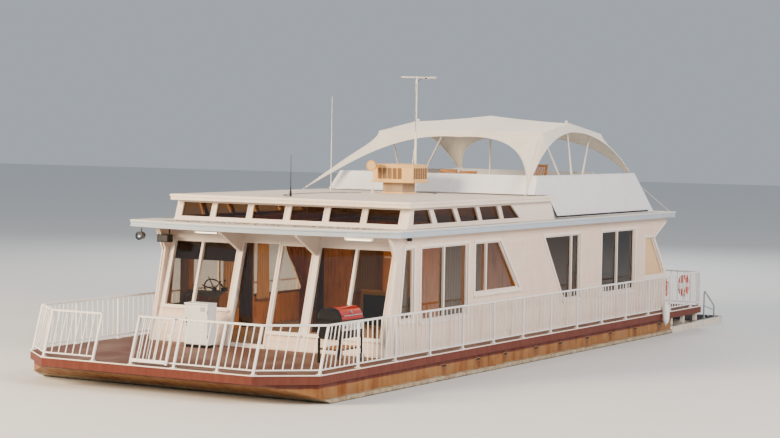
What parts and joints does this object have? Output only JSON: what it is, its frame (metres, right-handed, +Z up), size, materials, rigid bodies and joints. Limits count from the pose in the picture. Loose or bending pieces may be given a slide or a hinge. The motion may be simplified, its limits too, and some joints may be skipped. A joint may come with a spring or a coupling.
{
  "type": "houseboat",
  "caption": "Flat-bottomed river houseboat with railed decks, a windowed cabin, a raised clerestory, a roof deck under a tensioned canopy, and outboard engines.",
  "frame": {"origin": "under the middle of the boat, on the flat bottom of the hull", "axes": "+X towards the bow, +Y to port, +Z up"},
  "size_m": [21.21, 7.184, 6.685],
  "materials": {
    "hull_steel": "weathered",
    "deck_paint": "matte",
    "wall_board": "painted satin",
    "roof_sheet": "satin",
    "parapet_panel": "satin",
    "window_glass": "tinted",
    "wind_screen": "translucent",
    "canopy_fabric": "woven",
    "pole_steel": "brushed",
    "rail_paint": "semi-gloss",
    "platform_paint": "weathered",
    "engine_cowl": "gloss",
    "propeller_alloy": "cast",
    "cabin_wood": "varnished",
    "cooler_body": "weathered",
    "grill_black": "satin",
    "grill_red": "enamel",
    "cabinet_white": "satin",
    "fender_rubber": "smooth",
    "ring_foam": "smooth"
  },
  "bodies": {
    "boat": {"aft_glass_port": "window_glass", "aft_glass_starboard": "window_glass", "aft_rail": "rail_paint", "aft_wall": "wall_board", "barbecue_body": "grill_black", "boarding_rail": "pole_steel", "canopy": "canopy_fabric", "canopy_frame": "pole_steel", "clerestory_glass": "window_glass", "clerestory_wall": "wall_board", "cooler": "cooler_body", "deck_cabinet": "cabinet_white", "fender_port": "fender_rubber", "fender_starboard": "fender_rubber", "front_glass_centre": "window_glass", "front_glass_port": "window_glass", "front_glass_starboard": "window_glass", "front_wall": "wall_board", "helm_console": "cabin_wood", "hull": "hull_steel", "life_ring": "ring_foam", "main_deck": "deck_paint", "main_roof": "roof_sheet", "parapet_aft": "parapet_panel", "parapet_front": "parapet_panel", "parapet_port": "parapet_panel", "parapet_starboard": "parapet_panel", "port_cabin_glass_aft": "window_glass", "port_cabin_glass_fore": "window_glass", "port_rail": "rail_paint", "port_saloon_glass": "window_glass", "port_wall": "wall_board", "port_windbreak": "wind_screen", "roof_chair_1": "cabin_wood", "roof_chair_2": "cabin_wood", "roof_chair_3": "cabin_wood", "roof_ladder": "pole_steel", "saloon_bench": "cabin_wood", "saloon_bulkhead": "cabin_wood", "searchlight": "pole_steel", "starboard_cabin_glass_aft": "window_glass", "starboard_cabin_glass_fore": "window_glass", "starboard_rail": "rail_paint", "starboard_saloon_glass": "window_glass", "starboard_wall": "wall_board", "starboard_windbreak": "wind_screen", "swim_platform": "platform_paint", "tv_antenna": "pole_steel", "upper_roof": "roof_sheet", "whip_antenna_aft": "rail_paint", "whip_antenna_fore": "grill_black"},
    "bow_gate": {"bow_gate": "rail_paint"},
    "front_door": {"front_door": "window_glass"},
    "aft_door": {"aft_door": "wall_board"},
    "barbecue_hood": {"barbecue_hood": "grill_red"},
    "outboard_port": {"outboard_port": "engine_cowl"},
    "outboard_starboard": {"outboard_starboard": "engine_cowl"},
    "propeller_port": {"propeller_port": "propeller_alloy"},
    "propeller_starboard": {"propeller_starboard": "propeller_alloy"}
  },
  "joints": [
    {"name": "bow_gate_swing", "type": "hinge", "parent": "boat", "child": "bow_gate", "pos_m": [10.571, -0.34, 0.97], "axis": [0.3162, 0, -0.9487], "range_deg": [0, 180]},
    {"name": "front_door_slide", "type": "slide", "parent": "boat", "child": "front_door", "axis": [0, 1, 0], "range_m": [0, 0.8]},
    {"name": "aft_door_swing", "type": "hinge", "parent": "boat", "child": "aft_door", "pos_m": [-5.908, 0.444, 1], "axis": [0, 0, -1], "range_deg": [0, 110]},
    {"name": "barbecue_hood_lift", "type": "hinge", "parent": "boat", "child": "barbecue_hood", "pos_m": [7.75, 2.3, 1.803], "axis": [1, 0, 0], "range_deg": [0, 90]},
    {"name": "outboard_port_steer", "type": "hinge", "parent": "boat", "child": "outboard_port", "pos_m": [-9.085, 0.55, 0.7], "axis": [0, 0, 1], "range_deg": [-35, 35]},
    {"name": "outboard_starboard_steer", "type": "hinge", "parent": "boat", "child": "outboard_starboard", "pos_m": [-9.085, -0.55, 0.7], "axis": [0, 0, 1], "range_deg": [-35, 35]},
    {"name": "propeller_port_spin", "type": "hinge", "parent": "outboard_port", "child": "propeller_port", "pos_m": [-9.5, 0.55, 0.205], "axis": [1, 0, 0], "continuous": true},
    {"name": "propeller_starboard_spin", "type": "hinge", "parent": "outboard_starboard", "child": "propeller_starboard", "pos_m": [-9.5, -0.55, 0.205], "axis": [1, 0, 0], "continuous": true}
  ],
  "couplings": [
    {"joint": "outboard_starboard_steer", "follows": "outboard_port_steer", "ratio": 1}
  ]
}
